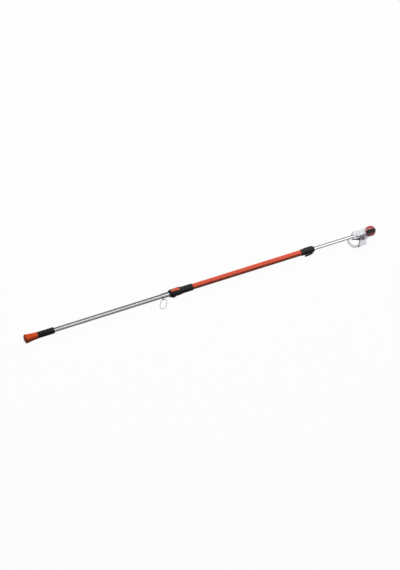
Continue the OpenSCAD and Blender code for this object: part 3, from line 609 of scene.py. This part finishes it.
def add_flags():
    """Black cards beside the pole and past its foot, which darken the edges of round and shiny pieces."""
    mat = matt("flag", FLAG_TONE, 0)
    feet = [((-FLAG_REACH, y), (FLAG_REACH, y)) for y in (-FLAG_SIDE, FLAG_SIDE)]
    feet.append(((FLAG_FOOT, -FLAG_SIDE), (FLAG_FOOT, FLAG_SIDE)))
    for start, end in feet:
        corners = [(*start, FLOOR_Z), (*end, FLOOR_Z), (*end, FLAG_TOP), (*start, FLAG_TOP)]
        add_card("flag", corners, mat, seen=False)


# Pull knob and grip

CAP_R = 18 * MM


def add_knob():
    """Bell of the knob, with a rounded neck and rim and a seat for its cap."""
    low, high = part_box("pull_knob")
    neck, neck_round, neck_steps = 17.5 * MM, 1.5 * MM, 6
    rim, rim_round, rim_steps = 24 * MM, 5 * MM, 12
    flare, flare_steps = 1.5, 40
    lip, seat, seat_end = 0.6 * MM, CAP_R + 0.05 * MM, low.x + 9 * MM
    bore, pocket, pocket_end = 1.8 * MM, 4.05 * MM, seat_end + 12 * MM
    bell_start, bell_end = high.x - neck_round, low.x + rim_round
    profile = [(high.x, bore)]
    for angle in evenly(0, QUARTER, neck_steps):
        reach = neck - neck_round * (1 - math.sin(angle))
        profile.append((bell_start + neck_round * math.cos(angle), reach))
    for share in evenly(0, 1, flare_steps)[1:]:
        reach = neck + (rim - neck) * share ** flare
        profile.append((bell_start + (bell_end - bell_start) * share, reach))
    for angle in evenly(0, QUARTER, rim_steps)[1:]:
        reach = rim - rim_round * (1 - math.cos(angle))
        profile.append((bell_end - rim_round * math.sin(angle), reach))
    profile += [(low.x, CAP_R + lip), (low.x + lip, seat), (seat_end, seat)]
    profile += [(seat_end, pocket), (pocket_end, pocket), (pocket_end, bore)]
    add_piece("knob_bell", turned("knob_bell", profile), "pull_knob")


def add_knob_end():
    """Cap in the knob's end: a sloped rim, raised rings and a boss."""
    low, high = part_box("knob_cap")
    rings, first_ring, pitch, point = 4, CAP_R - 5.2 * MM, 2.6 * MM, 0.2 * MM
    # Depths in mm, with steps in from the cap's radius, steps out from a ring's, and radii
    slope = ((2.9, 0), (2.2, 0.4), (0.7, 4))
    ring = ((0.05, 0.9), (0, 0.6), (0, 0), (0.5, -0.4), (0.5, -1.0))
    boss = ((0.1, 3.4), (0, 3.0))
    profile = [(high.x, point), (high.x, CAP_R)]
    profile += [(low.x + depth * MM, CAP_R - inset * MM) for depth, inset in slope]
    for i in range(rings):
        profile += [(low.x + depth * MM, first_ring - pitch * i + out * MM) for depth, out in ring]
    profile += [(low.x + depth * MM, radius * MM) for depth, radius in boss]
    profile.append((low.x, point))
    add_piece("knob_end", turned("knob_end", profile), "knob_cap")


def add_grip():
    """Rubber sleeve: a field of diamond knurls between plain bands, and a bead at its upper end."""
    low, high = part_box("grip_sleeve")
    seat, radius, sides = 11.55 * MM, 16.5 * MM, 264
    field_start, field_end, field_steps = low.x + 9 * MM, high.x - 14 * MM, 150
    count, pitch, depth, fading, sharpness = 22, 7 * MM, 1 * MM, 3 * MM, 2.2
    bead_middle, bead_half, bead_height, bead_steps = high.x - 5 * MM, 4.2 * MM, 1.1 * MM, 8
    # Steps along from an end and in from the radius, in mm
    groove = 0.6
    foot = ((0, 1), (0.6, 0.4), (2, 0), (5, 0), (5.6, 0.7), (6.4, 0.7), (7, 0))
    shoulder = ((13, 0), (12, groove), (10.5, groove))
    lip = ((0.3, 0.8), (0, 1.2))

    def knurl(place, angle):
        if not field_start < place < field_end:
            return 0
        fade = min(1, (place - field_start) / fading, (field_end - place) / fading)
        around = count * angle / (2 * math.pi)
        along = (place - field_start) / pitch
        ridge, cut = sorted(abs(math.sin(math.pi * (around + way * along))) for way in (1, -1))
        return -depth * fade * (1 - min(1, sharpness * ridge)) * ease(cut)

    def from_top(points):
        return [(high.x - along * MM, radius - inset * MM) for along, inset in points]

    profile = [(low.x, seat)]
    profile += [(low.x + along * MM, radius - inset * MM) for along, inset in foot]
    profile += [(place, radius) for place in evenly(field_start, field_end, field_steps)]
    profile += from_top(shoulder)
    for angle in evenly(0, math.pi, bead_steps):
        reach = radius - groove * MM + bead_height * math.sin(angle)
        profile.append((bead_middle - bead_half * math.cos(angle), reach))
    profile += from_top(lip)
    profile.append((high.x, seat))
    add_piece("grip", turned("grip", profile, sides, knurl), "grip_sleeve", sharp=50)


# Head

CORD_R = 1.2 * MM
CORD_STEP = 0.6 * MM
PULLEY_R = 6.2 * MM
SECTOR_R = 20 * MM


def add_spring():
    """Return spring of round wire, wound flat round the pivot's sleeve."""
    turns, pitch, start, steps = 3, 1.8 * MM, 5.8 * MM, 40
    wire, middle = 0.5 * MM, PIVOT + Vector((0, 0, 3.65 * MM))
    winding = evenly(0, turns, turns * steps)
    path = [middle + (start + pitch * turn) * ray(2 * math.pi * turn) for turn in winding]
    add_piece("spring_wire", swept("spring_wire", path, wire), "return_spring")


def add_blade():
    """Blade with a ground bevel along its cutting edge and a hole for the pivot's bolt."""
    low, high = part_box("blade")
    eye, eye_steps, hole, hole_sides = 12 * MM, 48, 3.05 * MM, 32
    top, heel = 9.5 * MM, math.radians(235)
    bow, edge_steps = 2.5 * MM, 40
    ground, tip_ramp, heel_ramp = 5 * MM, 6, 5
    tip, end = Vector((low.x - PIVOT.x, top, 0)), eye * ray(heel)
    along = (end - tip).normalized()
    inward = Vector((-along.y, along.x, 0))
    eye_end = 3 * math.pi - math.asin(top / eye)
    outline = [eye * ray(angle) for angle in evenly(heel, eye_end, eye_steps)]
    pulled = list(outline)
    for share in evenly(0, 1, edge_steps)[:-1]:
        point = tip + (end - tip) * share + inward * bow * 4 * share * (1 - share)
        bevel = ground * min(1, tip_ramp * share) * ease(min(1, heel_ramp * (1 - share)))
        outline.append(point)
        pulled.append(point + inward * bevel)
    ring = [hole * ray(angle) for angle in circle(hole_sides)]
    bm = bmesh.new()

    def loop(points, height):
        verts = [bm.verts.new((PIVOT.x + q.x, PIVOT.y + q.y, height)) for q in points]
        return verts, [bm.edges.new(pair) for pair in zip(verts, verts[1:] + verts[:1])]

    levels = []
    for outer, height in ((outline, low.z), (pulled, high.z)):
        rim, rim_edges = loop(outer, height)
        bore, bore_edges = loop(ring, height)
        bmesh.ops.triangle_fill(bm, use_beauty=True, edges=rim_edges + bore_edges)
        levels.append((rim, bore))
    for lower, upper in zip(*levels):
        for k in range(len(lower)):
            m = (k + 1) % len(lower)
            bm.faces.new((lower[k], lower[m], upper[m], upper[k]))
    bmesh.ops.recalc_face_normals(bm, faces=bm.faces)
    mesh = bpy.data.meshes.new("blade_ground")
    bm.to_mesh(mesh)
    bm.free()
    add_piece("blade_ground", mesh, "blade", sharp=12)


def laid(name, path, node):
    """A cord of three strands, twisted along a path that lies flat."""
    strands, strand_r, sides, lay = 3, 0.46 * CORD_R, 8, 7 * MM
    up = Vector((0, 0, 1))
    path = spaced(path, CORD_STEP)
    middle = []
    travelled = 0
    for i, ahead in enumerate(headings(path)):
        travelled += (path[i] - path[max(i - 1, 0)]).length
        middle.append((path[i], ahead.cross(up), 2 * math.pi * travelled / lay))
    meshes = []
    for start in circle(strands):
        line = []
        for point, side, turn in middle:
            out = math.cos(turn + start) * up + math.sin(turn + start) * side
            line.append(point + (CORD_R - strand_r) * out)
        meshes.append(swept(name, line, strand_r, sides))
    add_piece(name, joined(name, meshes), node, sharp=60)


def add_cords():
    """The runs of cord that show in the bracket: in from the tube, and round the pulley to the blade."""
    low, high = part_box("cord_neck")
    across = (low.y + high.y) / 2
    laid("cord_neck_laid", [Vector((x, across, 0)) for x in (low.x, high.x)], "cord_neck")

    arm = (PIVOT - HUB).xy
    toward = arm.normalized()
    lean = (PULLEY_R - SECTOR_R) / arm.length
    touch = lean * toward + math.sqrt(1 - lean * lean) * Vector((-toward.y, toward.x))
    turn = evenly(QUARTER, math.atan2(touch.y, touch.x), 24)
    path = [HUB + PULLEY_R * ray(angle) for angle in turn]
    path.append(PIVOT + SECTOR_R * touch.to_3d())
    laid("cord_head_laid", path, "cord_head")


def add_disc():
    """Red disc of the tilt knob, with a smooth dome that carries on beneath the wing."""
    low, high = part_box("tilt_knob")
    radius, edge, dome = (high.x - low.x) / 2, 6 * MM, 4.5 * MM
    rounding, rounding_middle = 1 * MM, 0.3 * MM
    bore, floor, point = 5.55 * MM, low.z + edge + 0.5 * MM, 0.05 * MM
    dome_steps, sides = 32, 128
    profile = [(low.z, bore), (low.z, radius - rounding)]
    profile += [(low.z + rounding_middle, radius - rounding_middle), (low.z + rounding, radius)]
    for angle in evenly(0, QUARTER, dome_steps):
        profile.append((low.z + edge + dome * math.sin(angle), max(point, radius * math.cos(angle))))
    profile += [(floor, point), (floor, bore)]
    mesh = turned("disc", profile, sides, axis="Z", centre=(HUB.x, HUB.y, 0))
    add_piece("disc", mesh, "tilt_knob")


def add_rivets():
    """Bracket rivets with domed heads."""
    low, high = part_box("bracket_rivets")
    shank, head, height, point = 2 * MM, 3.4 * MM, 1.3 * MM, 0.02 * MM
    dome_steps, sides = 8, 40
    angles = evenly(0, QUARTER, dome_steps)
    dome = [(height * (1 - math.cos(a)), max(point, head * math.sin(a))) for a in angles]
    profile = [(high.z - depth, radius) for depth, radius in dome]
    profile += [(high.z - height, shank), (low.z + height, shank)]
    profile += [(low.z + depth, radius) for depth, radius in reversed(dome)]
    places = (low.x + head, high.x - head)
    meshes = [turned("rivet", profile, sides, axis="Z", centre=(place, 0, 0)) for place in places]
    add_piece("rivets", joined("rivets", meshes), "bracket_rivets")


# Rounded edges

# Width of the rounding on each solid that gets it, in mm
SOFT = {
    "collar_body": 0.6,
    "collar_sleeve": 0.4,
    "collar_lever": 0.8,
    "collar_lever_tip": 0.8,
    "collar_bolt": 0.4,
    "collar_nut": 0.4,
    "collar_pin": 0.4,
    "guide_nose": 0.4,
    "clamp_body": 0.6,
    "clamp_lever": 0.8,
    "clamp_bolt": 0.4,
    "clamp_nut": 0.4,
    "clamp_pin": 0.4,
    "head_bracket": 0.8,
    "hook_jaw": 0.5,
    "jaw_cover": 0.5,
    "pivot_bolt": 0.6,
    "pivot_nut": 0.4,
    "tilt_wing": 1.2,
}
SOFT_MERGE = 2e-6
SOFT_FLAT = math.radians(0.4)
SOFT_FROM = math.radians(32)


def soften(node, width):
    """Puts a copy of a CAD solid with its edges rounded over in the solid's place."""
    mesh = nodes[node].data.copy()
    mesh.materials.clear()
    bm = bmesh.new()
    bm.from_mesh(mesh)
    bmesh.ops.remove_doubles(bm, verts=bm.verts, dist=SOFT_MERGE)
    bmesh.ops.dissolve_limit(bm, angle_limit=SOFT_FLAT, verts=bm.verts, edges=bm.edges)
    bm.to_mesh(mesh)
    bm.free()
    piece = add_piece(f"{node}_soft", mesh, node)
    bevel = piece.modifiers.new("edges", "BEVEL")
    bevel.width = width
    bevel.segments = 2
    bevel.limit_method = "ANGLE"
    bevel.angle_limit = SOFT_FROM
    bevel.harden_normals = True


finishes = make_finishes()
dress_nodes()
add_camera()
add_world()
add_light("key", place=(0.2, 1.5, 1.2), size=(3.4, 0.8), watts=68, shine=False)
add_light("strip", place=(0.2, 0.55, 2.3), size=(3.6, 0.4), watts=26, shine=True)
add_floor()
add_flags()
add_knob()
add_knob_end()
add_grip()
add_spring()
add_blade()
add_cords()
add_disc()
add_rivets()
for node, width in SOFT.items():
    soften(node, width * MM)

bpy.context.scene.view_settings.view_transform = "Standard"
